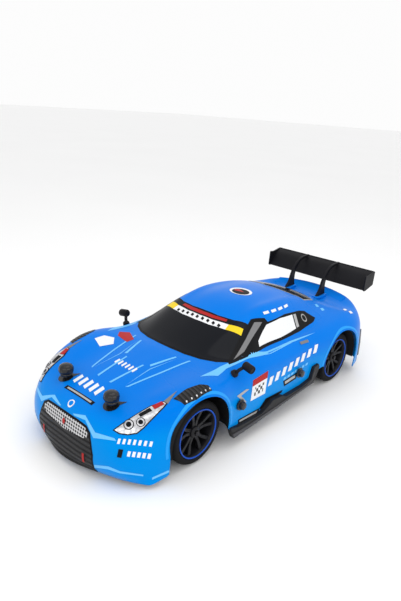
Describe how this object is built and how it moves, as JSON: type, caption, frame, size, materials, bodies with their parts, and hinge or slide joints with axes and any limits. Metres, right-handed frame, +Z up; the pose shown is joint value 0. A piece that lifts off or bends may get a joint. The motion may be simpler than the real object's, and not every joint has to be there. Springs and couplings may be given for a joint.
{
  "type": "remote control car",
  "caption": "Radio-controlled touring car with painted race shell, rear wing and sprung four-wheel-drive chassis.",
  "frame": {"origin": "on the ground under the centre of the overall length and width", "axes": "+X forward, +Y to the car's left, +Z up"},
  "size_m": [0.3022, 0.1378, 0.0883],
  "materials": {
    "shell_paint": "clear gloss over blue paint",
    "satin_trim": "satin moulded",
    "tyre": "matt rubber",
    "wheel": "black wheel with a blue edge",
    "steel": "turned",
    "motor_can": "drawn can",
    "battery_wrap": "shrink wrap",
    "light_nylon": "moulded",
    "electronics": "fine grained case",
    "black_nylon": "moulded nylon"
  },
  "bodies": {
    "chassis": {"chassis_pan": "black_nylon", "front_gearbox_cover": "black_nylon", "rear_gearbox_cover": "black_nylon", "front_shock_tower": "black_nylon", "rear_shock_tower": "black_nylon", "front_bumper_beam": "black_nylon", "drive_motor": "motor_can", "motor_mount": "electronics", "battery_pack": "battery_wrap", "receiver_box": "electronics", "steering_servo": "electronics", "front_hinge_pins": "steel", "rear_hinge_pins": "steel", "front_spring_left": "steel", "front_spring_right": "steel", "rear_spring_left": "steel", "rear_spring_right": "steel"},
    "shell": {"body_shell": "shell_paint", "rear_wing": "satin_trim", "wing_stand_left": "satin_trim", "wing_stand_right": "satin_trim", "mirror_left": "satin_trim", "mirror_right": "satin_trim", "side_skirt_left": "black_nylon", "side_skirt_right": "black_nylon", "side_knob_front_left": "satin_trim", "side_knob_front_right": "satin_trim", "side_knob_rear_left": "satin_trim", "side_knob_rear_right": "satin_trim"},
    "hood_knob_left": {"hood_knob_left": "satin_trim"},
    "hood_knob_right": {"hood_knob_right": "satin_trim"},
    "power_switch": {"power_switch": "light_nylon"},
    "centre_shaft": {"centre_shaft": "steel"},
    "motor_pinion": {"motor_pinion": "steel"},
    "front_differential": {"front_differential": "steel"},
    "rear_differential": {"rear_differential": "steel"},
    "servo_horn": {"servo_horn": "light_nylon"},
    "tie_bar": {"tie_bar": "black_nylon"},
    "front_arm_left": {"front_arm_left": "black_nylon", "front_shock_rod_left": "steel"},
    "front_wheel_left": {"front_rim_left": "wheel", "front_tyre_left": "tyre"},
    "front_arm_right": {"front_arm_right": "black_nylon", "front_shock_rod_right": "steel"},
    "front_wheel_right": {"front_rim_right": "wheel", "front_tyre_right": "tyre"},
    "rear_arm_left": {"rear_arm_left": "black_nylon", "rear_shock_rod_left": "steel"},
    "rear_wheel_left": {"rear_rim_left": "wheel", "rear_tyre_left": "tyre", "rear_drive_shaft_left": "steel"},
    "rear_arm_right": {"rear_arm_right": "black_nylon", "rear_shock_rod_right": "steel"},
    "rear_wheel_right": {"rear_rim_right": "wheel", "rear_tyre_right": "tyre", "rear_drive_shaft_right": "steel"},
    "knuckle_left": {"steering_knuckle_left": "black_nylon"},
    "front_drive_shaft_left": {"front_drive_shaft_left": "steel"},
    "knuckle_right": {"steering_knuckle_right": "black_nylon"},
    "front_drive_shaft_right": {"front_drive_shaft_right": "steel"}
  },
  "joints": [
    {"name": "shell_lift", "type": "slide", "parent": "chassis", "child": "shell", "axis": [0, 0, 1], "range_m": [0, 0.06]},
    {"name": "hood_knob_left_pull", "type": "slide", "parent": "shell", "child": "hood_knob_left", "axis": [0, 0, 1], "range_m": [0, 0.02]},
    {"name": "hood_knob_right_pull", "type": "slide", "parent": "shell", "child": "hood_knob_right", "axis": [0, 0, 1], "range_m": [0, 0.02]},
    {"name": "power_switch_slide", "type": "slide", "parent": "chassis", "child": "power_switch", "axis": [1, 0, 0], "range_m": [0, 0.0028]},
    {"name": "front_suspension_left", "type": "hinge", "parent": "chassis", "child": "front_arm_left", "pos_m": [0.089, 0.018, 0.012], "axis": [1, 0, 0], "range_deg": [-3, 4], "stiffness_Nm_per_rad": 1.6, "deforming": ["front_spring_left"]},
    {"name": "front_suspension_right", "type": "hinge", "parent": "chassis", "child": "front_arm_right", "pos_m": [0.089, -0.018, 0.012], "axis": [-1, 0, 0], "range_deg": [-3, 4], "stiffness_Nm_per_rad": 1.6, "deforming": ["front_spring_right"]},
    {"name": "rear_suspension_left", "type": "hinge", "parent": "chassis", "child": "rear_arm_left", "pos_m": [-0.085, 0.018, 0.012], "axis": [1, 0, 0], "range_deg": [-3, 4], "stiffness_Nm_per_rad": 1.6, "deforming": ["rear_spring_left"]},
    {"name": "rear_suspension_right", "type": "hinge", "parent": "chassis", "child": "rear_arm_right", "pos_m": [-0.085, -0.018, 0.012], "axis": [-1, 0, 0], "range_deg": [-3, 4], "stiffness_Nm_per_rad": 1.6, "deforming": ["rear_spring_right"]},
    {"name": "steer_left", "type": "hinge", "parent": "front_arm_left", "child": "knuckle_left", "pos_m": [0.089, 0.0365, 0.022], "axis": [0, 0, 1], "range_deg": [-20, 20]},
    {"name": "steer_right", "type": "hinge", "parent": "front_arm_right", "child": "knuckle_right", "pos_m": [0.089, -0.0365, 0.022], "axis": [0, 0, 1], "range_deg": [-20, 20]},
    {"name": "servo_turn", "type": "hinge", "parent": "chassis", "child": "servo_horn", "pos_m": [0.058, -0.019, 0.028], "axis": [0, 0, 1], "range_deg": [-26, 26]},
    {"name": "tie_bar_slide", "type": "slide", "parent": "chassis", "child": "tie_bar", "axis": [0, 1, 0], "range_m": [-0.0065, 0.0065]},
    {"name": "front_wheel_spin_left", "type": "hinge", "parent": "knuckle_left", "child": "front_wheel_left", "pos_m": [0.089, 0.05, 0.022], "axis": [0, 1, 0], "continuous": true},
    {"name": "front_wheel_spin_right", "type": "hinge", "parent": "knuckle_right", "child": "front_wheel_right", "pos_m": [0.089, -0.05, 0.022], "axis": [0, 1, 0], "continuous": true},
    {"name": "rear_wheel_spin_left", "type": "hinge", "parent": "rear_arm_left", "child": "rear_wheel_left", "pos_m": [-0.085, 0.05, 0.022], "axis": [0, 1, 0], "continuous": true},
    {"name": "rear_wheel_spin_right", "type": "hinge", "parent": "rear_arm_right", "child": "rear_wheel_right", "pos_m": [-0.085, -0.05, 0.022], "axis": [0, 1, 0], "continuous": true},
    {"name": "front_half_shaft_spin_left", "type": "hinge", "parent": "front_arm_left", "child": "front_drive_shaft_left", "pos_m": [0.089, 0.024, 0.022], "axis": [0, 1, 0], "continuous": true},
    {"name": "front_half_shaft_spin_right", "type": "hinge", "parent": "front_arm_right", "child": "front_drive_shaft_right", "pos_m": [0.089, -0.024, 0.022], "axis": [0, 1, 0], "continuous": true},
    {"name": "front_differential_spin", "type": "hinge", "parent": "chassis", "child": "front_differential", "pos_m": [0.089, 0, 0.022], "axis": [0, 1, 0], "continuous": true},
    {"name": "rear_differential_spin", "type": "hinge", "parent": "chassis", "child": "rear_differential", "pos_m": [-0.085, 0, 0.022], "axis": [0, 1, 0], "continuous": true},
    {"name": "centre_shaft_spin", "type": "hinge", "parent": "chassis", "child": "centre_shaft", "pos_m": [-0.014, 0, 0.022], "axis": [1, 0, 0], "continuous": true},
    {"name": "motor_pinion_spin", "type": "hinge", "parent": "chassis", "child": "motor_pinion", "pos_m": [-0.014, -0.01575, 0.022], "axis": [1, 0, 0], "continuous": true}
  ],
  "couplings": [
    {"joint": "steer_right", "follows": "steer_left", "ratio": 1},
    {"joint": "servo_turn", "follows": "steer_left", "ratio": -1.214},
    {"joint": "tie_bar_slide", "follows": "steer_left", "m_per_rad": -0.017},
    {"joint": "rear_wheel_spin_right", "follows": "rear_wheel_spin_left", "ratio": 1},
    {"joint": "front_wheel_spin_left", "follows": "rear_wheel_spin_left", "ratio": 1},
    {"joint": "front_wheel_spin_right", "follows": "rear_wheel_spin_left", "ratio": 1},
    {"joint": "front_half_shaft_spin_left", "follows": "rear_wheel_spin_left", "ratio": 1},
    {"joint": "front_half_shaft_spin_right", "follows": "rear_wheel_spin_left", "ratio": 1},
    {"joint": "front_differential_spin", "follows": "rear_wheel_spin_left", "ratio": 1},
    {"joint": "rear_differential_spin", "follows": "rear_wheel_spin_left", "ratio": 1},
    {"joint": "centre_shaft_spin", "follows": "rear_wheel_spin_left", "ratio": -2.6},
    {"joint": "motor_pinion_spin", "follows": "rear_wheel_spin_left", "ratio": 8.32}
  ]
}
